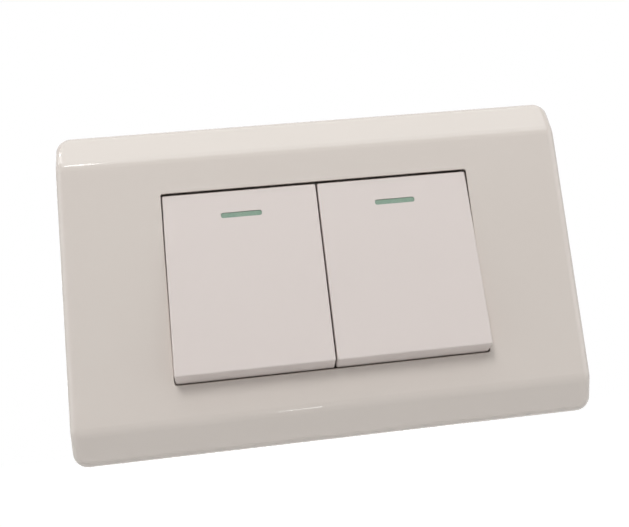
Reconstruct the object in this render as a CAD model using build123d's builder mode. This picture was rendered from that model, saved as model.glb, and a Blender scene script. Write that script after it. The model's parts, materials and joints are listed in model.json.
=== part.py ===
from build123d import *
import os
from math import asin, cos, degrees, radians, sin, sqrt

# A two-gang rocker light switch for an oblong wall box, in millimetres.
# Seen from the room, X runs right, Z up and Y into the wall, with Y at 0 on the wall's surface.
# A height, here, is a distance from that surface towards the room, so it is -Y.

# Cover plate
plate_width = 118.0
plate_height = 74.0
plate_depth = 8.5
plate_wall = 2.0
plate_corner_radius = 3.4
plate_rim_radius = 2.2
band_width = 7.5
band_drop = 3.4
band_crease_radius = 5.0
window_width = 71.5
window_height = 42.8
window_corner_radius = 0.5
window_edge_radius = 0.2
window_taper = 8.0
rib_setback = 0.9
rib_thickness = 1.0
plate_rib_depth = 1.6
hook_width = 7.0
hook_thickness = 1.4
hook_barb = 0.9
hook_barb_height = 1.4
hook_clearance = 0.25
hook_tip_height = 0.5
hook_latch_height = 2.3
hook_from_middle = 19.0
pry_notch_width = 9.0
pry_notch_height = 1.4

# Mounting frame
frame_setback = 3.0
frame_thickness = 2.2
frame_corner_radius = 3.0
frame_rim_thickness = 1.6
frame_rim_height = 1.4
frame_module_gap = 0.25
box_screw_spacing = 83.5
box_slot_width = 4.2
box_slot_length = 7.0
box_pad_border = 2.4
box_pad_height = 0.8
latch_pocket_depth = 1.2
latch_pocket_margin = 0.3
latch_gap = 0.1

# Rockers
rocker_side_gap = 0.2
rocker_middle_gap = 0.35
rocker_end_gap = 0.15
rocker_tilt = 6.0
rocker_press_sink = 0.45
rocker_stop_gap = 1.2
rocker_axis_height = 3.55
rocker_skirt_draft = 0.27
rocker_face_thickness = 2.2
rocker_wall = 1.5
rocker_edge_radius = 0.45
pin_radius = 1.5
pin_length = 2.0
pin_clearance = 0.05
lug_thickness = 2.0
lug_radius = 2.6
lug_to_cheek = 0.3
tube_outer_radius = 3.4
tube_bore_radius = 2.2
tube_length = 10.6
tube_floor = 1.0
stiffener_thickness = 1.2
stiffener_depth = 3.0

# Luminous strips
strip_length = 9.4
strip_width = 1.25
strip_corner_radius = 0.5
strip_recess = 0.15
strip_from_top_edge = 5.67
strip_flange_border = 0.8
strip_flange_thickness = 0.8
strip_clearance = 0.05

# Plungers and their springs
plunger_clearance = 0.08
plunger_guide_length = 5.4
plunger_overhang = 0.8
plunger_nose_radius = 1.5
plunger_stem_radius = 1.2
plunger_stem_length = 2.2
plunger_lever_gap = 0.05
spring_wire_radius = 0.22
spring_clearance = 0.15
spring_seat_gap = 0.03
spring_turns = 5

# Contact levers and their contacts
axis_spacing = 13.0
lever_swing = 9.0
lever_width = 4.6
lever_thickness = 1.0
lever_toe_arm = 5.5
lever_end_margin = 2.0
lever_bend_radius = 0.8
lever_stop_gap = 0.05
lever_pin_radius = 0.8
lever_pin_length = 1.4
lever_pin_clearance = 0.05
contact_radius = 1.5
contact_head_depth = 0.9
contact_dome_radius = 5.0
contact_shank_radius = 0.9
contact_tail_radius = 1.3
contact_tail_height = 0.3
contact_hole_clearance = 0.05
contact_closed_gap = 0.05
fixed_contact_height = 0.6
contact_terminal_gap = 1.3

# Terminals
metal_thickness = 1.0
common_strip_drop = 2.6
fork_gap = 0.3
fork_half_width = 1.7
fork_over_axis = 1.0
terminal_width = 7.0
terminal_length = 6.5
terminal_height = 8.5
terminal_end_gap = 1.25
terminal_edge_radius = 0.5
terminal_root = 1.0
wire_bore_radius = 1.6
wire_bore_depth = 7.0
tongue_width = 5.0
tongue_end_margin = 2.0
screw_radius = 1.5
screw_clearance = 0.05
screw_tip_gap = 0.1
screw_head_radius = 2.7
screw_head_height = 2.2
screw_head_lift = 0.35
screw_slot_width = 0.8
screw_slot_depth = 1.1

# Module covers
flange_side_gap = 0.75
flange_overlap = 3.0
flange_thickness = 1.8
plinth_side_gap = 2.35
plinth_end_gap = 3.7
plinth_height = 1.9
cheek_thickness = 2.0
cheek_side_gap = 0.875
cheek_radius = 3.2
cheek_snap_width = 2.3
mechanism_slot_margin = 0.6
clip_width = 8.0
clip_thickness = 1.4
clip_barb = 0.8
clip_barb_height = 1.2
clip_seat_gap = 0.05
arm_thickness = 1.0
arm_width = 8.0
arm_length = 6.5
arm_gap = 0.15
arm_inset = 0.15
arm_window_width = 5.0
arm_window_height = 2.4
arm_window_margin = 1.6
post_width = 5.0
post_length = 4.0
post_gap = 0.1

# Module bases
base_depth = 19.0
base_setback = 0.95
base_wall = 1.5
base_floor = 1.6
base_corner_radius = 1.5
catch_depth = 0.9
catch_gap = 0.1
guide_rib_thickness = 1.2
guide_rib_clearance = 0.15
guide_rib_setback = 1.5
guide_rib_below_top = 1.0
support_width = 6.0
support_length = 4.0
wire_funnel_radius = 2.1
screw_access_radius = 3.1

# Places that follow from these sizes
band_crease = plate_height / 2 - band_width
plate_inside = plate_depth - plate_wall
frame_width = plate_width - 2 * (plate_wall + frame_setback)
frame_height = plate_height - 2 * (plate_wall + frame_setback)
rocker_width = (window_width - 2 * rocker_side_gap - rocker_middle_gap) / 2
module_pitch = rocker_width + rocker_middle_gap
module_centers = {"left": -module_pitch / 2, "right": module_pitch / 2}
plinth_width = module_pitch - plinth_side_gap
flange_width = module_pitch - flange_side_gap
plinth_length = window_height - 2 * plinth_end_gap
opening_length = plinth_length + 2 * frame_module_gap
flange_length = opening_length + 2 * flange_overlap
base_width = flange_width - 2 * (arm_inset + arm_thickness + arm_gap)
base_length = flange_length - 2 * base_setback
cheek_start = rocker_width / 2 - rocker_wall - cheek_side_gap - cheek_thickness
lug_spread = cheek_start - lug_to_cheek

# Where the skirt stands proud, its edge clears the window. Where it is pressed in, its edge
# stops short of the frame. Levels are distances from the rocker's axis towards its face.
tilt_cos = cos(radians(rocker_tilt))
tilt_sin = sin(radians(rocker_tilt))
skirt_reach = window_height / 2 - rocker_end_gap
skirt_stop = frame_thickness + rocker_stop_gap - rocker_axis_height
full_travel_cos = cos(radians(2 * rocker_tilt))
skirt_half = (skirt_reach * tilt_cos + skirt_stop * tilt_sin) / full_travel_cos
skirt_level = (skirt_stop * tilt_cos + skirt_reach * tilt_sin) / full_travel_cos
# The pressed edge of the face lies just below the face of the plate.
axis_half = skirt_half + rocker_skirt_draft * skirt_level
pressed_rise = plate_depth - rocker_press_sink - rocker_axis_height
face_level = (pressed_rise + axis_half * tilt_sin) / (tilt_cos + rocker_skirt_draft * tilt_sin)
face_half = axis_half - rocker_skirt_draft * face_level
face_inside = face_level - rocker_face_thickness
tube_end = face_inside - tube_length
spring_seat = face_inside - tube_floor
strip_center = face_half - strip_from_top_edge

# The plunger's nose meets the lever's front side at the middle of the travel.
plunger_guide_end = tube_end - plunger_overhang
plunger_shoulder = plunger_guide_end + plunger_guide_length
nose_center = lever_thickness / 2 + plunger_lever_gap + plunger_nose_radius - axis_spacing

# The terminals stand against the ends of the base, on its floor.
floor_top = base_floor - base_depth
base_inner_length = base_length - 2 * base_wall
terminal_from_middle = (base_inner_length - terminal_length) / 2 - terminal_end_gap
terminal_inner_end = terminal_from_middle - terminal_length / 2
terminal_outer_end = terminal_from_middle + terminal_length / 2
terminal_top = floor_top + terminal_height
screw_height = floor_top + terminal_height / 2

# The fixed contact lies beside its terminal, and the lever's contact closes on it at the end of
# the lever's swing.
swing_cos = cos(radians(lever_swing))
swing_sin = sin(radians(lever_swing))
lever_axis_height = rocker_axis_height - axis_spacing
dome_center = contact_dome_radius - contact_head_depth - lever_thickness / 2
fixed_contact_place = terminal_inner_end - contact_terminal_gap - contact_radius
lever_contact_arm = (fixed_contact_place - dome_center * swing_sin) / swing_cos
closed_dome_height = lever_axis_height + dome_center * swing_cos - lever_contact_arm * swing_sin
fixed_contact_face = closed_dome_height - contact_dome_radius - contact_closed_gap
tongue_top = fixed_contact_face - fixed_contact_height
common_strip_top = lever_axis_height - common_strip_drop
toe_corner_arm = lever_toe_arm + lever_thickness / 2
toe_depth = (common_strip_drop - lever_stop_gap - toe_corner_arm * swing_sin) / swing_cos
fork_start = lever_width / 2 + fork_gap
fork_top = lever_axis_height + fork_over_axis

arm_start = base_width / 2 + arm_gap
arm_window_bottom = arm_window_margin - flange_thickness - arm_length
arm_window_top = arm_window_bottom + arm_window_height


def front_plane(center_x, height):
    """Plane parallel to the wall: local x is X, local y is Z, and it faces the room."""
    return Plane((center_x, -height, 0), x_dir=(1, 0, 0), z_dir=(0, -1, 0))


def side_plane(center_x):
    """Upright plane across the wall: local x is Z, local y is the height, and it faces right."""
    return Plane((center_x, 0, 0), x_dir=(0, 0, 1), z_dir=(1, 0, 0))


def tilted_planes(center_x, axis_height, tilt):
    """Front and side plane of a piece that is tilted about a level axis, top end into the wall."""
    origin = (center_x, -axis_height, 0)
    up = (0, sin(radians(tilt)), cos(radians(tilt)))
    outward = (0, -cos(radians(tilt)), sin(radians(tilt)))
    front = Plane(origin, x_dir=(1, 0, 0), z_dir=outward)
    side = Plane(origin, x_dir=up, z_dir=(1, 0, 0))
    return front, side


def save(builder, name):
    builder.part.label = name
    export_step(builder.part, f"parts/{name}.step")


def build_cover_plate():
    """The moulding that shows: a flat face between two sloping bands, hollow at the back."""
    half_height = plate_height / 2
    edge_height = plate_depth - band_drop
    with BuildPart() as plate:
        with BuildSketch(side_plane(0)):
            with BuildLine():
                Polyline(
                    (-half_height, 0),
                    (-half_height, edge_height),
                    (-band_crease, plate_depth),
                    (band_crease, plate_depth),
                    (half_height, edge_height),
                    (half_height, 0),
                    close=True,
                )
            make_face()
        extrude(amount=plate_width / 2, both=True)
        fillet(plate.edges().filter_by(Axis.Y), plate_corner_radius)
        fillet(plate.faces().sort_by(Axis.Y)[0].edges().filter_by(Axis.X), band_crease_radius)
        walls = plate.faces().filter_by(lambda face: abs(face.normal_at().Y) < 0.001)
        rim = walls.edges().filter_by(Axis.Y, reverse=True).filter_by(lambda edge: edge.center().Y < -0.1)
        fillet(rim, plate_rim_radius)

        # Hollow back, with walls of even thickness
        with BuildSketch(side_plane(0)):
            with BuildLine():
                Polyline(
                    (-half_height, -2 * plate_wall),
                    (-half_height, edge_height),
                    (-band_crease, plate_depth),
                    (band_crease, plate_depth),
                    (half_height, edge_height),
                    (half_height, -2 * plate_wall),
                    close=True,
                )
            make_face()
            offset(amount=-plate_wall, kind=Kind.INTERSECTION, mode=Mode.REPLACE)
        extrude(amount=plate_width / 2 - plate_wall, both=True, mode=Mode.SUBTRACT)
        fillet(plate.edges(Select.LAST).filter_by(Axis.Y), plate_corner_radius - plate_wall)

        # Window for the rockers, wider at the back where their skirts swing past
        with BuildSketch(front_plane(0, plate_depth)):
            RectangleRounded(window_width, window_height, window_corner_radius)
        extrude(amount=-2 * plate_wall, taper=-window_taper, mode=Mode.SUBTRACT)
        fillet(plate.edges(Select.LAST).group_by(Axis.Y)[0], window_edge_radius)

        # Stiffening rib round the window, on the inside
        with BuildSketch(front_plane(0, plate_inside)):
            Rectangle(
                window_width + 2 * (rib_setback + rib_thickness),
                window_height + 2 * (rib_setback + rib_thickness),
            )
            Rectangle(window_width + 2 * rib_setback, window_height + 2 * rib_setback, mode=Mode.SUBTRACT)
        extrude(amount=-plate_rib_depth)

        # Notch in the lower edge, for prising the plate off
        with BuildSketch(front_plane(0, 0)):
            with Locations((0, -half_height)):
                Rectangle(pry_notch_width, 2 * plate_wall)
        extrude(amount=pry_notch_height, mode=Mode.SUBTRACT)

        # Four hooks that snap into the mounting frame's edge
        hook_inside = frame_width / 2 + hook_clearance
        for level in (-hook_from_middle, hook_from_middle):
            hook_plane = Plane((0, 0, level), x_dir=(1, 0, 0), z_dir=(0, 0, -1))
            with BuildSketch(hook_plane):
                with BuildLine():
                    Polyline(
                        (hook_inside, plate_inside),
                        (hook_inside, hook_latch_height),
                        (hook_inside - hook_barb, hook_latch_height),
                        (hook_inside, hook_latch_height - hook_barb_height),
                        (hook_inside, hook_tip_height),
                        (hook_inside + hook_thickness, hook_tip_height),
                        (hook_inside + hook_thickness, plate_inside),
                        close=True,
                    )
                make_face()
                mirror(about=Plane.YZ)
            extrude(amount=hook_width / 2, both=True)
    return plate


def build_mounting_frame():
    """The frame that is screwed to the wall box. It holds the modules and the cover plate."""
    with BuildPart() as frame:
        with BuildSketch(front_plane(0, 0)):
            RectangleRounded(frame_width, frame_height, frame_corner_radius)
            with GridLocations(module_pitch, 0, 2, 1):
                Rectangle(plinth_width + 2 * frame_module_gap, opening_length, mode=Mode.SUBTRACT)
        extrude(amount=frame_thickness)

        # Outer rim, inner rim round the window and pads round the box-screw slots
        with BuildSketch(front_plane(0, frame_thickness)):
            RectangleRounded(frame_width, frame_height, frame_corner_radius)
            RectangleRounded(
                frame_width - 2 * frame_rim_thickness,
                frame_height - 2 * frame_rim_thickness,
                frame_corner_radius - frame_rim_thickness,
                mode=Mode.SUBTRACT,
            )
        extrude(amount=frame_rim_height)
        with BuildSketch(front_plane(0, frame_thickness)):
            Rectangle(
                window_width + 2 * (rib_setback + rib_thickness),
                window_height + 2 * (rib_setback + rib_thickness),
            )
            Rectangle(window_width + 2 * rib_setback, window_height + 2 * rib_setback, mode=Mode.SUBTRACT)
        extrude(amount=frame_rim_height)
        with BuildSketch(front_plane(0, frame_thickness)):
            with GridLocations(box_screw_spacing, 0, 2, 1):
                SlotOverall(box_slot_length + 2 * box_pad_border, box_slot_width + 2 * box_pad_border)
            Rectangle(window_width + 2 * rib_setback, window_height + 2 * rib_setback, mode=Mode.SUBTRACT)
        extrude(amount=box_pad_height)

        # Slots for the two box screws
        with BuildSketch(front_plane(0, 0)):
            with GridLocations(box_screw_spacing, 0, 2, 1):
                SlotOverall(box_slot_length, box_slot_width)
        extrude(amount=frame_thickness + frame_rim_height, mode=Mode.SUBTRACT)

        # Pockets in the edge for the cover plate's hooks
        pocket_bottom = hook_latch_height - hook_barb_height - latch_gap
        with BuildSketch(front_plane(0, pocket_bottom)):
            with GridLocations(frame_width, 2 * hook_from_middle, 2, 2):
                Rectangle(2 * latch_pocket_depth, hook_width + 2 * latch_pocket_margin)
        extrude(amount=hook_latch_height + latch_gap - pocket_bottom, mode=Mode.SUBTRACT)
    return frame


def build_rocker(center_x):
    """The key that is pressed: a hollow cap with two pivot lugs and a tube for the plunger."""
    front, side = tilted_planes(center_x, rocker_axis_height, rocker_tilt)
    inside_half = face_half + rocker_skirt_draft * rocker_face_thickness - rocker_wall
    below_skirt = skirt_level - rocker_wall
    below_skirt_half = axis_half - rocker_skirt_draft * below_skirt - rocker_wall
    with BuildPart() as rocker:
        with BuildSketch(side):
            with BuildLine():
                Polyline(
                    (-face_half, face_level),
                    (face_half, face_level),
                    (skirt_half, skirt_level),
                    (-skirt_half, skirt_level),
                    close=True,
                )
            make_face()
        extrude(amount=rocker_width / 2, both=True)
        outward = Axis(front.origin, front.z_dir)
        skirt_corners = rocker.edges().filter_by(Axis.X, reverse=True).group_by(outward)[1]
        fillet(skirt_corners + rocker.faces().sort_by(outward)[-1].edges(), rocker_edge_radius)

        # Hollow underside
        with BuildSketch(side):
            with BuildLine():
                Polyline(
                    (-inside_half, face_inside),
                    (inside_half, face_inside),
                    (below_skirt_half, below_skirt),
                    (-below_skirt_half, below_skirt),
                    close=True,
                )
            make_face()
        extrude(amount=rocker_width / 2 - rocker_wall, both=True, mode=Mode.SUBTRACT)

        # Pivot lugs, each with a pin that points outwards
        for start in (-lug_spread, lug_spread - lug_thickness):
            with BuildSketch(side.offset(start)):
                Circle(lug_radius)
                with Locations((0, face_inside / 2)):
                    Rectangle(2 * lug_radius, face_inside)
            extrude(amount=lug_thickness)
        for start in (-lug_spread - pin_length, lug_spread):
            with BuildSketch(side.offset(start)):
                Circle(pin_radius)
            extrude(amount=pin_length)

        # Tube for the plunger, with stiffeners out to the lugs
        with BuildSketch(front.offset(face_inside)):
            Rectangle(2 * lug_spread - lug_thickness, stiffener_thickness)
        extrude(amount=-stiffener_depth)
        with BuildSketch(front.offset(face_inside)):
            Circle(tube_outer_radius)
        extrude(amount=-tube_length)
        with BuildSketch(front.offset(tube_end)):
            Circle(tube_bore_radius)
        extrude(amount=tube_length - tube_floor, mode=Mode.SUBTRACT)

        # Slot for the luminous strip
        with BuildSketch(front.offset(face_level)):
            with Locations((0, strip_center)):
                RectangleRounded(strip_length, strip_width, strip_corner_radius)
        extrude(amount=-rocker_face_thickness, mode=Mode.SUBTRACT)
    return rocker


def build_indicator_strip(center_x):
    """The pale green luminous strip, pushed through the rocker's face from behind."""
    front, side = tilted_planes(center_x, rocker_axis_height, rocker_tilt)
    with BuildPart() as strip:
        with BuildSketch(front.offset(face_inside)):
            with Locations((0, strip_center)):
                RectangleRounded(
                    strip_length - 2 * strip_clearance,
                    strip_width - 2 * strip_clearance,
                    strip_corner_radius - strip_clearance,
                )
        extrude(amount=rocker_face_thickness - strip_recess)
        with BuildSketch(front.offset(face_inside)):
            with Locations((0, strip_center)):
                Rectangle(strip_length + 2 * strip_flange_border, strip_width + 2 * strip_flange_border)
        extrude(amount=-strip_flange_thickness)
    return strip


def build_plunger(center_x):
    """The sprung pin in the rocker's tube. Its round nose tips the contact lever over."""
    front, side = tilted_planes(center_x, rocker_axis_height, rocker_tilt)
    guide_radius = tube_bore_radius - plunger_clearance
    stem_top = plunger_shoulder + plunger_stem_length
    with BuildPart() as plunger:
        with BuildSketch(side):
            with BuildLine():
                CenterArc((0, nose_center), plunger_nose_radius, -90, 90)
                Polyline(
                    (plunger_nose_radius, nose_center),
                    (plunger_nose_radius, plunger_guide_end),
                    (guide_radius, plunger_guide_end),
                    (guide_radius, plunger_shoulder),
                    (plunger_stem_radius, plunger_shoulder),
                    (plunger_stem_radius, stem_top),
                    (0, stem_top),
                    (0, nose_center - plunger_nose_radius),
                )
            make_face()
        revolve(axis=Axis(front.origin, front.z_dir))
    return plunger


def build_plunger_spring(center_x):
    """The coil spring between the tube's floor and the plunger's shoulder."""
    front, side = tilted_planes(center_x, rocker_axis_height, rocker_tilt)
    end_room = spring_wire_radius + spring_seat_gap
    height = spring_seat - plunger_shoulder - 2 * end_room
    coil_radius = tube_bore_radius - spring_clearance - spring_wire_radius
    first_turn = front.offset(plunger_shoulder + end_room)
    with BuildPart() as spring:
        with BuildLine() as coil:
            Helix(height / spring_turns, height, coil_radius, first_turn.origin, first_turn.z_dir)
        with BuildSketch(Plane(coil.line @ 0, z_dir=coil.line % 0)):
            Circle(spring_wire_radius)
        sweep(path=coil.line, is_frenet=True)
    return spring


def build_contact_lever(center_x):
    """The bent metal see-saw: a contact arm, a toe that rests on the strip and two pivot pins."""
    front, side = tilted_planes(center_x, lever_axis_height, -lever_swing)
    with BuildPart() as lever:
        with BuildSketch(side):
            with BuildLine():
                FilletPolyline(
                    (-lever_toe_arm, -toe_depth),
                    (-lever_toe_arm, 0),
                    (lever_contact_arm + lever_end_margin, 0),
                    radius=lever_bend_radius,
                )
            trace(line_width=lever_thickness)
        extrude(amount=lever_width / 2, both=True)
        for start in (-lever_width / 2 - lever_pin_length, lever_width / 2):
            with BuildSketch(side.offset(start)):
                Circle(lever_pin_radius)
            extrude(amount=lever_pin_length)
        with BuildSketch(front):
            with Locations((0, lever_contact_arm)):
                Circle(contact_shank_radius + contact_hole_clearance)
        extrude(amount=lever_thickness, both=True, mode=Mode.SUBTRACT)
    return lever


def build_lever_contact(center_x):
    """The silver rivet through the lever's arm, with its domed head towards the fixed contact."""
    front, side = tilted_planes(center_x, lever_axis_height, -lever_swing)
    arm = lever_contact_arm
    half = lever_thickness / 2
    dome_height = contact_dome_radius - sqrt(contact_dome_radius**2 - contact_radius**2)
    dome_angle = degrees(asin(contact_radius / contact_dome_radius))
    head_end = -half - contact_head_depth
    tail_end = half + contact_tail_height
    with BuildPart() as contact:
        with BuildSketch(side):
            with BuildLine():
                CenterArc((arm, dome_center), contact_dome_radius, -90, dome_angle)
                Polyline(
                    (arm + contact_radius, head_end + dome_height),
                    (arm + contact_radius, -half),
                    (arm + contact_shank_radius, -half),
                    (arm + contact_shank_radius, half),
                    (arm + contact_tail_radius, half),
                    (arm + contact_tail_radius, tail_end),
                    (arm, tail_end),
                    (arm, head_end),
                )
            make_face()
        revolve(axis=Axis(side.from_local_coords((arm, 0, 0)), front.z_dir))
    return contact


def build_common_terminal(center_x):
    """Brass terminal at the lower end, with a strip to the fork that carries the lever."""
    front = front_plane(center_x, 0)
    side = side_plane(center_x)
    strip_start = -terminal_inner_end - terminal_root
    strip_end = fork_half_width
    with BuildPart() as terminal:
        with BuildSketch(front.offset(floor_top)):
            with Locations((0, -terminal_from_middle)):
                RectangleRounded(terminal_width, terminal_length, terminal_edge_radius)
        extrude(amount=terminal_height)
        with BuildSketch(front.offset(common_strip_top)):
            with Locations((0, (strip_start + strip_end) / 2)):
                Rectangle(2 * (fork_start + metal_thickness), strip_end - strip_start)
        extrude(amount=-metal_thickness)

        # Fork: two upright prongs with open slots for the lever's pins
        slot_radius = lever_pin_radius + lever_pin_clearance
        for start in (-fork_start - metal_thickness, fork_start):
            with BuildSketch(side.offset(start)):
                with Locations((0, (common_strip_top + fork_top) / 2)):
                    Rectangle(2 * fork_half_width, fork_top - common_strip_top)
                with Locations((0, lever_axis_height)):
                    Circle(slot_radius, mode=Mode.SUBTRACT)
                with Locations((0, lever_axis_height + fork_over_axis)):
                    Rectangle(2 * slot_radius, 2 * fork_over_axis, mode=Mode.SUBTRACT)
            extrude(amount=metal_thickness)

        # Wire bore from the back and screw hole from the lower end
        with BuildSketch(front.offset(floor_top)):
            with Locations((0, -terminal_from_middle)):
                Circle(wire_bore_radius)
        extrude(amount=wire_bore_depth, mode=Mode.SUBTRACT)
        with BuildSketch(Plane((center_x, -screw_height, -terminal_outer_end), z_dir=(0, 0, 1))):
            Circle(screw_radius + screw_clearance)
        extrude(amount=terminal_length / 2, mode=Mode.SUBTRACT)
    return terminal


def build_switched_terminal(center_x):
    """Brass terminal at the upper end, with a tongue that carries the fixed contact."""
    front = front_plane(center_x, 0)
    tongue_start = fixed_contact_place - tongue_end_margin
    tongue_end = terminal_inner_end + terminal_root
    with BuildPart() as terminal:
        with BuildSketch(front.offset(floor_top)):
            with Locations((0, terminal_from_middle)):
                RectangleRounded(terminal_width, terminal_length, terminal_edge_radius)
        extrude(amount=terminal_height)
        with BuildSketch(front.offset(tongue_top)):
            with Locations((0, (tongue_start + tongue_end) / 2)):
                Rectangle(tongue_width, tongue_end - tongue_start)
            with Locations((0, fixed_contact_place)):
                Circle(contact_shank_radius + contact_hole_clearance, mode=Mode.SUBTRACT)
        extrude(amount=-metal_thickness)

        # Wire bore from the back and screw hole from the upper end
        with BuildSketch(front.offset(floor_top)):
            with Locations((0, terminal_from_middle)):
                Circle(wire_bore_radius)
        extrude(amount=wire_bore_depth, mode=Mode.SUBTRACT)
        with BuildSketch(Plane((center_x, -screw_height, terminal_outer_end), z_dir=(0, 0, -1))):
            Circle(screw_radius + screw_clearance)
        extrude(amount=terminal_length / 2, mode=Mode.SUBTRACT)
    return terminal


def build_fixed_contact(center_x):
    """The silver rivet in the switched terminal's tongue."""
    front = front_plane(center_x, 0)
    with BuildPart() as contact:
        with BuildSketch(front.offset(tongue_top)):
            with Locations((0, fixed_contact_place)):
                Circle(contact_radius)
        extrude(amount=fixed_contact_height)
        with BuildSketch(front.offset(tongue_top)):
            with Locations((0, fixed_contact_place)):
                Circle(contact_shank_radius)
        extrude(amount=-metal_thickness)
    return contact


def build_terminal_screws(center_x):
    """The two clamping screws, one at each end, drawn back so that a wire can go in."""
    head_start = terminal_outer_end + screw_head_lift
    head_end = head_start + screw_head_height
    tip = terminal_from_middle + wire_bore_radius + screw_tip_gap
    with BuildPart() as screws:
        for end in (-1, 1):
            across = Plane((center_x, -screw_height, 0), x_dir=(1, 0, 0), z_dir=(0, 0, end))
            with BuildSketch(across.offset(tip)):
                Circle(screw_radius)
            extrude(amount=head_start - tip)
            with BuildSketch(across.offset(head_start)):
                Circle(screw_head_radius)
            extrude(amount=screw_head_height)
            with BuildSketch(across.offset(head_end)):
                Rectangle(2 * screw_head_radius, screw_slot_width)
            extrude(amount=-screw_slot_depth, mode=Mode.SUBTRACT)
    return screws


def build_module_cover(center_x):
    """The module's front: a flange behind the frame, a plinth through it and two pivot cheeks."""
    front = front_plane(center_x, 0)
    side = side_plane(center_x)
    plinth_end = plinth_length / 2
    tube_swing = (rocker_axis_height + flange_thickness) * tilt_sin
    slot_half = (tube_outer_radius + tube_swing) / tilt_cos + mechanism_slot_margin
    barb_bottom = frame_thickness + clip_seat_gap
    barb_top = barb_bottom + clip_barb_height
    with BuildPart() as cover:
        with BuildSketch(front):
            Rectangle(flange_width, flange_length)
        extrude(amount=-flange_thickness)
        with BuildSketch(front):
            Rectangle(plinth_width, plinth_length)
        extrude(amount=plinth_height)
        with BuildSketch(front.offset(plinth_height)):
            Rectangle(2 * cheek_start, 2 * slot_half)
        extrude(amount=-plinth_height - flange_thickness, mode=Mode.SUBTRACT)

        # Cheeks with round bearings. The rocker's pins snap in from the front.
        for start in (-cheek_start - cheek_thickness, cheek_start):
            with BuildSketch(side.offset(start)):
                with Locations((0, rocker_axis_height)):
                    Circle(cheek_radius)
                with Locations((0, rocker_axis_height / 2)):
                    Rectangle(2 * cheek_radius, rocker_axis_height)
            extrude(amount=cheek_thickness)
            with BuildSketch(side.offset(start)):
                with Locations((0, rocker_axis_height)):
                    Circle(pin_radius + pin_clearance)
                with Locations((0, rocker_axis_height + cheek_radius)):
                    Rectangle(cheek_snap_width, 2 * cheek_radius)
            extrude(amount=cheek_thickness, mode=Mode.SUBTRACT)

        # Clips that snap over the front of the mounting frame
        with BuildSketch(side):
            with BuildLine():
                Polyline(
                    (plinth_end - clip_thickness, 0),
                    (plinth_end - clip_thickness, barb_top),
                    (plinth_end, barb_top),
                    (plinth_end + clip_barb, barb_bottom + clip_seat_gap),
                    (plinth_end + clip_barb, barb_bottom),
                    (plinth_end, barb_bottom),
                    (plinth_end, 0),
                    close=True,
                )
            make_face()
            mirror(about=Plane.YZ)
        extrude(amount=clip_width / 2, both=True)

        # Arms that snap over the base's catches, and posts that hold the terminals down
        for start in (-arm_start - arm_thickness, arm_start):
            with BuildSketch(side.offset(start)):
                with Locations((0, -flange_thickness - arm_length / 2)):
                    Rectangle(arm_width, arm_length)
                with Locations((0, (arm_window_bottom + arm_window_top) / 2)):
                    Rectangle(arm_window_width, arm_window_height, mode=Mode.SUBTRACT)
            extrude(amount=arm_thickness)
        with BuildSketch(front.offset(-flange_thickness)):
            with GridLocations(0, 2 * terminal_from_middle, 1, 2):
                Rectangle(post_width, post_length)
        extrude(amount=terminal_top + post_gap + flange_thickness)
    return cover


def build_module_base(center_x):
    """The box in the wall: it holds the terminals, with holes for the wires and the screws."""
    front = front_plane(center_x, 0)
    catch_bottom = arm_window_bottom + catch_gap
    catch_top = arm_window_top - catch_gap
    rib_start = terminal_width / 2 + guide_rib_clearance
    rib_end = base_inner_length / 2
    rib_inner_end = terminal_inner_end + guide_rib_setback
    with BuildPart() as base:
        with BuildSketch(front.offset(-flange_thickness)):
            RectangleRounded(base_width, base_length, base_corner_radius)
        extrude(amount=flange_thickness - base_depth)
        with BuildSketch(front.offset(floor_top)):
            Rectangle(base_width - 2 * base_wall, base_inner_length)
        extrude(amount=-flange_thickness - floor_top, mode=Mode.SUBTRACT)

        # Ribs beside the terminals and supports under the fork and the fixed contact
        with BuildSketch(front.offset(floor_top)):
            with GridLocations(2 * rib_start + guide_rib_thickness, rib_inner_end + rib_end, 2, 2):
                Rectangle(guide_rib_thickness, rib_end - rib_inner_end)
        extrude(amount=terminal_height - guide_rib_below_top)
        with BuildSketch(front.offset(floor_top)):
            Rectangle(support_width, 2 * fork_half_width)
        extrude(amount=common_strip_top - metal_thickness - floor_top)
        with BuildSketch(front.offset(floor_top)):
            with Locations((0, fixed_contact_place)):
                Rectangle(support_width, support_length)
        extrude(amount=tongue_top - metal_thickness - floor_top)

        # Catches for the cover's arms
        with BuildSketch(Plane((center_x, 0, 0), x_dir=(1, 0, 0), z_dir=(0, 0, -1))):
            with BuildLine():
                Polyline(
                    (base_width / 2, catch_top),
                    (base_width / 2 + catch_depth, catch_bottom),
                    (base_width / 2, catch_bottom),
                    close=True,
                )
            make_face()
            mirror(about=Plane.YZ)
        extrude(amount=arm_window_width / 2 - catch_gap, both=True)

        # Funnels for the wires and access to the screws
        back_of_floor = Plane((center_x, base_depth, 0), x_dir=(1, 0, 0), z_dir=(0, 1, 0))
        with Locations(back_of_floor):
            with GridLocations(0, 2 * terminal_from_middle, 1, 2):
                CounterSinkHole(wire_bore_radius, wire_funnel_radius, base_floor)
        for end in (-1, 1):
            across = Plane((center_x, -screw_height, 0), x_dir=(1, 0, 0), z_dir=(0, 0, end))
            with BuildSketch(across.offset(base_length / 2)):
                Circle(screw_access_radius)
            extrude(amount=-base_wall, mode=Mode.SUBTRACT)
    return base


os.makedirs("parts", exist_ok=True)

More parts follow.
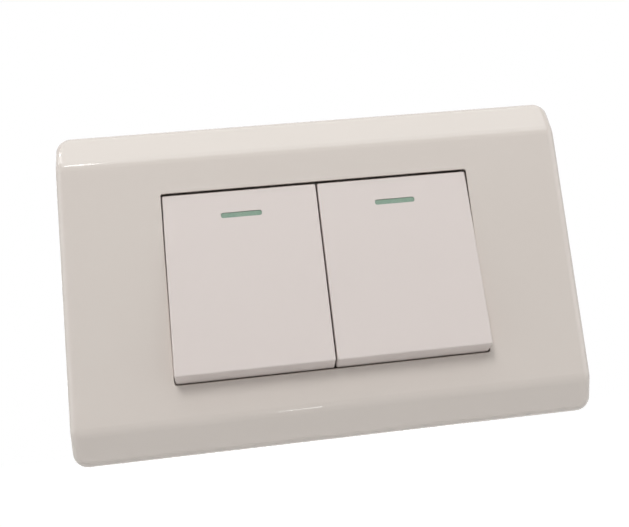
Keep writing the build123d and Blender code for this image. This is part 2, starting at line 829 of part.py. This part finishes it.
save(build_cover_plate(), "cover_plate")
save(build_mounting_frame(), "mounting_frame")
for side_name, module_center in module_centers.items():
    save(build_rocker(module_center), f"{side_name}_rocker")
    save(build_indicator_strip(module_center), f"{side_name}_indicator_strip")
    save(build_plunger(module_center), f"{side_name}_plunger")
    save(build_plunger_spring(module_center), f"{side_name}_plunger_spring")
    save(build_contact_lever(module_center), f"{side_name}_contact_lever")
    save(build_lever_contact(module_center), f"{side_name}_lever_contact")
    save(build_common_terminal(module_center), f"{side_name}_common_terminal")
    save(build_switched_terminal(module_center), f"{side_name}_switched_terminal")
    save(build_fixed_contact(module_center), f"{side_name}_fixed_contact")
    save(build_terminal_screws(module_center), f"{side_name}_terminal_screws")
    save(build_module_cover(module_center), f"{side_name}_module_cover")
    save(build_module_base(module_center), f"{side_name}_module_base")
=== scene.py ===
import json
from math import radians

import bpy
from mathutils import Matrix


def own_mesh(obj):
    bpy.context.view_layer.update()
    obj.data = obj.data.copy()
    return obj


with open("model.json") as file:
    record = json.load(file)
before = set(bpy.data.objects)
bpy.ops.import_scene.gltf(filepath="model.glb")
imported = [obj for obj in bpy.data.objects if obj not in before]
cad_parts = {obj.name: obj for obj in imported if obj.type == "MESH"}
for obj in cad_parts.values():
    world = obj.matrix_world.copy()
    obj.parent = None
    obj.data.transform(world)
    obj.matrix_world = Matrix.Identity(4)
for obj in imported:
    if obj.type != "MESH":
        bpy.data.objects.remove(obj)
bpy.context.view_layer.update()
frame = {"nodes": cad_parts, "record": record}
nodes = frame["nodes"]

# Module bases: the two boxes that reach into the wall box and hold the terminals.
# They are moulded from a pale grey glass-filled nylon, which comes out of the tool
# dull and finely grained.


class Shade:
    """A node's output. Sums, differences and products of shades add the Math nodes for them."""

    # Math and Mix nodes have several sockets of one name, so these go by number.
    first_value, second_value, math_result = 0, 1, 0
    mix_factor, first_colour, second_colour, mixed_colour = 0, 6, 7, 2

    def __init__(self, tree, socket=None):
        self.tree = tree
        self.socket = socket

    def node(self, kind, settings, sockets, output):
        """Adds a node, makes its settings, fills or links its sockets, and gives one output."""
        made = self.tree.nodes.new(kind)
        for name, value in settings.items():
            setattr(made, name, value)
        for name, value in sockets.items():
            if isinstance(value, Shade):
                self.tree.links.new(value.socket, made.inputs[name])
            else:
                made.inputs[name].default_value = value
        return Shade(self.tree, made.outputs[output])

    def math(self, operation, first, second):
        sockets = {self.first_value: first, self.second_value: second}
        return self.node("ShaderNodeMath", {"operation": operation}, sockets, self.math_result)

    def __add__(self, other):
        return self.math("ADD", self, other)

    def __radd__(self, other):
        return self.math("ADD", other, self)

    def __sub__(self, other):
        return self.math("SUBTRACT", self, other)

    def __rsub__(self, other):
        return self.math("SUBTRACT", other, self)

    def __mul__(self, other):
        return self.math("MULTIPLY", self, other)

    def __rmul__(self, other):
        return self.math("MULTIPLY", other, self)

    def between(self, first, second):
        """Colour that goes from the first to the second as this shade goes from 0 to 1."""
        opaque = 1.0
        sockets = {
            self.mix_factor: self,
            self.first_colour: (*first, opaque),
            self.second_colour: (*second, opaque),
        }
        return self.node("ShaderNodeMix", {"data_type": "RGBA"}, sockets, self.mixed_colour)

    def into(self, shader, name):
        self.tree.links.new(self.socket, shader.inputs[name])


def new_finish(name):
    """A material, its shader, and the place on the piece that the finish is worked out from."""
    material = bpy.data.materials.new(name)
    material.use_nodes = True
    shader = material.node_tree.nodes["Principled BSDF"]
    place = Shade(material.node_tree).node("ShaderNodeTexCoord", {}, {}, "Object")
    return material, shader, place


def noise(place, scale, detail, roughness=0.5):
    """Cloudy noise from 0 to 1, with the given number of waves to the metre."""
    sockets = {"Vector": place, "Scale": scale, "Detail": detail, "Roughness": roughness}
    return place.node("ShaderNodeTexNoise", {}, sockets, "Fac")


def bump(height, distance, strength=1.0):
    """Normal of a surface that rises by the distance, in metres, as the height goes to 1."""
    sockets = {"Height": height, "Distance": distance, "Strength": strength}
    return height.node("ShaderNodeBump", {}, sockets, "Normal")


def moulded_plastic(name, light, dark, roughness, grain_size, grain_height):
    """Slow drifts of colour over the piece, and the grain that the tool's surface leaves."""
    middle = 0.5
    by_grain = 0.10
    by_drift = 0.05
    material, shader, place = new_finish(name)
    drift = noise(place, scale=55.0, detail=3.0)
    grain = noise(place, scale=1.0 / grain_size, detail=2.0)
    drift.between(light, dark).into(shader, "Base Color")
    varied = roughness + by_grain * (grain - middle) + by_drift * (drift - middle)
    varied.into(shader, "Roughness")
    bump(grain, distance=grain_height).into(shader, "Normal")
    shader.inputs["IOR"].default_value = 1.5
    return material


def dress(material, *pieces):
    for piece in pieces:
        nodes[piece].material_slots[0].material = material


def dress_both(material, *pieces):
    """Dresses the left and the right one of each piece."""
    dress(material, *[f"{side}_{piece}" for side in ("left", "right") for piece in pieces])


base_nylon = moulded_plastic(
    "base_nylon",
    light=(0.62, 0.61, 0.58),
    dark=(0.56, 0.55, 0.53),
    roughness=0.55,
    grain_size=0.00035,
    grain_height=0.000012,
)
dress_both(base_nylon, "module_base")

# Terminals and contact levers: brass blocks that clamp the wires, and see-saws of brass strip.
# The terminals stand in the base's pockets, and each lever rests in its common terminal's fork.
# Rolling leaves fine streaks along the brass, and handling leaves duller patches.


def rolled_brass():
    bright = (0.86, 0.64, 0.31)
    dull = (0.70, 0.47, 0.20)
    drawn_out = (1.0, 1.0, 0.06)
    smoothest, by_streaks, by_patches = 0.22, 0.16, 0.14
    material, shader, place = new_finish("rolled_brass")
    sockets = {"Vector": place, "Scale": drawn_out}
    along = place.node("ShaderNodeMapping", {}, sockets, "Vector")
    streaks = noise(along, scale=5200.0, detail=3.0)
    patches = noise(place, scale=420.0, detail=4.0, roughness=0.6)
    patches.between(bright, dull).into(shader, "Base Color")
    (smoothest + by_streaks * streaks + by_patches * patches).into(shader, "Roughness")
    bump(streaks, distance=0.000004).into(shader, "Normal")
    shader.inputs["Metallic"].default_value = 1.0
    return material


dress_both(rolled_brass(), "common_terminal", "switched_terminal", "contact_lever")

# Contacts: small silver rivets, one in the switched terminal's tongue and one in the lever.
# Their faces are pressed smooth and go a little dull and yellow in air.


def contact_silver():
    clean = (0.90, 0.89, 0.86)
    yellowed = (0.72, 0.68, 0.60)
    smoothest, by_tarnish = 0.16, 0.22
    material, shader, place = new_finish("contact_silver")
    tarnish = noise(place, scale=900.0, detail=4.0, roughness=0.6)
    tarnish.between(clean, yellowed).into(shader, "Base Color")
    (smoothest + by_tarnish * tarnish).into(shader, "Roughness")
    shader.inputs["Metallic"].default_value = 1.0
    return material


dress_both(contact_silver(), "fixed_contact", "lever_contact")

# Terminal screws: turned from steel, slotted and zinc plated, and driven into the terminals' ends.
# The plating is bright with a cool, slightly cloudy tone.


def zinc_plate():
    bright = (0.80, 0.81, 0.82)
    cloudy = (0.66, 0.67, 0.66)
    smoothest, by_cloud, by_turning = 0.24, 0.14, 0.08
    material, shader, place = new_finish("zinc_plate")
    cloud = noise(place, scale=700.0, detail=3.0)
    turning = noise(place, scale=6000.0, detail=1.0)
    cloud.between(bright, cloudy).into(shader, "Base Color")
    (smoothest + by_cloud * cloud + by_turning * turning).into(shader, "Roughness")
    bump(turning, distance=0.000004).into(shader, "Normal")
    shader.inputs["Metallic"].default_value = 1.0
    return material


dress_both(zinc_plate(), "terminal_screws")

# Module covers: the white fronts that close the bases and carry the rockers' bearings.
# They are moulded from a smooth white nylon, duller than the parts that show.
# Their arms snap over the bases' catches.
cover_nylon = moulded_plastic(
    "cover_nylon",
    light=(0.84, 0.79, 0.72),
    dark=(0.80, 0.75, 0.68),
    roughness=0.46,
    grain_size=0.0003,
    grain_height=0.000008,
)
dress_both(cover_nylon, "module_cover")

# Plungers: the pins that slide in the rockers' tubes and tip the levers over with their noses.
# They are moulded from a slippery cream nylon, smoother than the covers.
plunger_nylon = moulded_plastic(
    "plunger_nylon",
    light=(0.84, 0.82, 0.74),
    dark=(0.78, 0.76, 0.68),
    roughness=0.34,
    grain_size=0.0002,
    grain_height=0.000004,
)
dress_both(plunger_nylon, "plunger")

# Plunger springs: wound from bright drawn steel wire, and held between a seat in the rocker
# and the plunger's shoulder. Pushing a plunger in shortens its spring towards that seat; here each
# seat is only worked out, and each spring gets a mesh of its own, which nothing shortens.


def drawn_wire():
    bright = (0.66, 0.66, 0.65)
    drawn = (0.52, 0.52, 0.52)
    smoothest, by_drawing = 0.20, 0.18
    material, shader, place = new_finish("drawn_wire")
    drawing = noise(place, scale=4200.0, detail=2.0)
    drawing.between(bright, drawn).into(shader, "Base Color")
    (smoothest + by_drawing * drawing).into(shader, "Roughness")
    shader.inputs["Metallic"].default_value = 1.0
    return material


dress_both(drawn_wire(), "plunger_spring")

seat_from_hinge = 0.003465
joints = {joint["name"]: joint for joint in frame["record"]["behaviour"]["joints"]}
for side in ("left", "right"):
    hinge = joints[f"{side}_rocker_tilt"]["pos_m"]
    push = joints[f"{side}_plunger_slide"]["axis"]
    seat = [start + seat_from_hinge * step for start, step in zip(hinge, push)]
    spring = nodes[f"{side}_plunger_spring"]
    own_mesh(spring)

# Mounting frame: the carrier that is screwed to the wall box, and that the modules clip into.
# It is moulded from a tough off-white plastic with an even, eroded grain.
frame_plastic = moulded_plastic(
    "frame_plastic",
    light=(0.82, 0.76, 0.68),
    dark=(0.78, 0.72, 0.64),
    roughness=0.50,
    grain_size=0.00028,
    grain_height=0.000014,
)
dress(frame_plastic, "mounting_frame")

# Rockers: the two keys, moulded from a warm white plastic with a satin, finely eroded face.
# The face scatters light, so it looks paler and less shiny than the plate round it.
# Their pins snap into the bearings in the covers' cheeks.
rocker_satin = moulded_plastic(
    "rocker_satin",
    light=(0.685, 0.612, 0.586),
    dark=(0.67, 0.597, 0.571),
    roughness=0.42,
    grain_size=0.00022,
    grain_height=0.000006,
)
dress_both(rocker_satin, "rocker")

# Luminous strips: green inserts that glow after dark, pushed into the rockers from behind.
# The plastic is filled with pigment grains, so it looks chalky and slightly speckled.


def luminous_plastic():
    deep_green = (0.13, 0.245, 0.18)
    pale_green = (0.32, 0.395, 0.32)
    grain_share, cloud_share = 0.55, 0.45
    smoothest, by_cloud = 0.40, 0.15
    material, shader, place = new_finish("luminous_plastic")
    cells = {"Vector": place, "Scale": 3600.0}
    grains = place.node("ShaderNodeTexVoronoi", {"feature": "F1"}, cells, "Distance")
    cloud = noise(place, scale=500.0, detail=3.0)
    speckle = grain_share * grains + cloud_share * cloud
    speckle.between(deep_green, pale_green).into(shader, "Base Color")
    (smoothest + by_cloud * cloud).into(shader, "Roughness")
    bump(grains, distance=0.000006).into(shader, "Normal")
    return material


dress_both(luminous_plastic(), "indicator_strip")

# Cover plate: the moulding that shows, in glossy warm white plastic, with a sloping band above
# and below. It comes from a polished tool, so the face is smooth, with only a slow waviness
# where it shrank. Four hooks snap it into the mounting frame's edge.


def polished_plastic():
    light = (0.665, 0.60, 0.555)
    dark = (0.645, 0.575, 0.53)
    smoothest, by_waves = 0.04, 0.03
    material, shader, place = new_finish("polished_plastic")
    drift = noise(place, scale=28.0, detail=3.0)
    waves = noise(place, scale=130.0, detail=2.0)
    drift.between(light, dark).into(shader, "Base Color")
    (smoothest + by_waves * waves).into(shader, "Roughness")
    bump(waves, distance=0.00002, strength=0.5).into(shader, "Normal")
    shader.inputs["IOR"].default_value = 1.5
    return material


dress(polished_plastic(), "cover_plate")

# Stage: a plain pale floor well below the part, which hangs as it would on its wall box.
# To the camera the floor and the surroundings are white, and the floor still takes the
# part's shadow.
floor_size = 6.0
floor_level = -0.30
bpy.ops.object.select_all(action="DESELECT")
bpy.ops.mesh.primitive_plane_add(size=floor_size, location=(0.0, 0.0, floor_level))
floor = bpy.context.object
floor.name = "floor"
floor_paint = bpy.data.materials.new("floor_paint")
floor_paint.use_nodes = True
floor_shader = floor_paint.node_tree.nodes["Principled BSDF"]
floor_shader.inputs["Base Color"].default_value = (0.62, 0.62, 0.61, 1.0)
floor_shader.inputs["Roughness"].default_value = 0.9
floor_shader.inputs["Emission Strength"].default_value = 1.0


def seen_directly(tree):
    """One for a ray that is the camera's, mirrored or let through, and nought for scattered light."""
    camera, mirrored, let_through = [
        Shade(tree).node("ShaderNodeLightPath", {}, {}, f"Is {kind} Ray")
        for kind in ("Camera", "Glossy", "Transmission")
    ]
    return camera + mirrored + let_through


no_glow = (0.0, 0.0, 0.0)
seen_glow = (0.88, 0.88, 0.88)
floor_glow = seen_directly(floor_paint.node_tree).between(no_glow, seen_glow)
floor_glow.into(floor_shader, "Emission Color")
floor.data.materials.append(floor_paint)

scattered_sky = (0.112, 0.11, 0.108)
seen_sky = (1.0, 1.0, 1.0)
world = bpy.data.worlds.new("studio")
world.use_nodes = True
bpy.context.scene.world = world
ambient = world.node_tree.nodes["Background"]
seen_directly(world.node_tree).between(scattered_sky, seen_sky).into(ambient, "Color")

# Lamps: a soft key above and in front, with broad panels overhead, at both sides, below and
# behind. Three small ones leave the thin glints on the plate's two creases and on its left rim.
plate_middle = (0.0, 0.0, 0.0)
white = (1.0, 1.0, 1.0)
cool_white = (0.93, 1.0, 1.0)


def soft_lamp(name, width, height, power, place, target, roll=0.0, mirrored=True, tint=white):
    """An oblong lamp that shines on the target, and that glossy pieces show if it is mirrored."""
    lamp = bpy.data.lights.new(name, "AREA")
    lamp.color = tint
    lamp.shape = "RECTANGLE"
    lamp.size = width
    lamp.size_y = height
    lamp.energy = power
    holder = bpy.data.objects.new(name, lamp)
    holder.location = place
    aim = holder.location.copy()
    aim.x, aim.y, aim.z = target
    holder.rotation_euler = (aim - holder.location).to_track_quat("-Z", "Y").to_euler()
    holder.rotation_euler.rotate_axis("Z", radians(roll))
    holder.visible_camera = False
    holder.visible_glossy = mirrored
    bpy.context.scene.collection.objects.link(holder)


soft_lamp(
    "key_lamp", width=0.2, height=0.3, power=2.98,
    place=(-0.16, -0.56, 0.545), target=plate_middle, mirrored=False,
)
soft_lamp(
    "overhead_panel", width=1.0, height=0.8, power=3.72,
    place=(0.0, -0.36, 0.74), target=plate_middle, tint=cool_white,
)
soft_lamp(
    "left_panel", width=0.5, height=0.5, power=1.07,
    place=(-0.62, -0.12, 0.05), target=plate_middle,
)
soft_lamp(
    "right_panel", width=0.5, height=0.5, power=1.2,
    place=(0.57, -0.27, 0.05), target=plate_middle,
)
soft_lamp(
    "low_panel", width=0.7, height=0.3, power=0.12,
    place=(0.0, -0.05, -0.29), target=(0.0, -0.02, 0.0),
)
soft_lamp(
    "back_panel", width=0.5, height=0.5, power=4.0,
    place=(0.0, 0.8, 0.0), target=plate_middle,
)
soft_lamp(
    "top_crease_lamp", width=0.036, height=0.06, power=0.09,
    place=(-0.16, -0.56, 0.545), target=(-0.053, -0.008, 0.03),
)
soft_lamp(
    "low_crease_lamp", width=0.034, height=0.02, power=0.026,
    place=(0.028, -0.45, -0.245), target=(-0.008, -0.008, -0.03),
)
soft_lamp(
    "rim_lamp", width=0.45, height=0.012, power=0.16,
    place=(-0.52, -0.097, 0.543), target=(-0.058, -0.006, 0.032), roll=28.0,
)

# Camera: close in front of the plate, a little to the left and below its middle.
# It is turned with the plate's slant in the photograph, and its shift frames the plate as there.
tilt, lean, turn = 99.7203, 5.9141, -5.657
lens = bpy.data.cameras.new("photo_camera")
lens.sensor_width = 36.0
lens.lens = 50.5975
lens.shift_y = -0.10555
lens.clip_start = 0.01
viewer = bpy.data.objects.new("photo_camera", lens)
viewer.location = (-0.024139, -0.208536, -0.016544)
viewer.rotation_euler = (radians(tilt), radians(lean), radians(turn))
bpy.context.scene.collection.objects.link(viewer)
bpy.context.scene.camera = viewer
bpy.context.scene.view_settings.view_transform = "Standard"
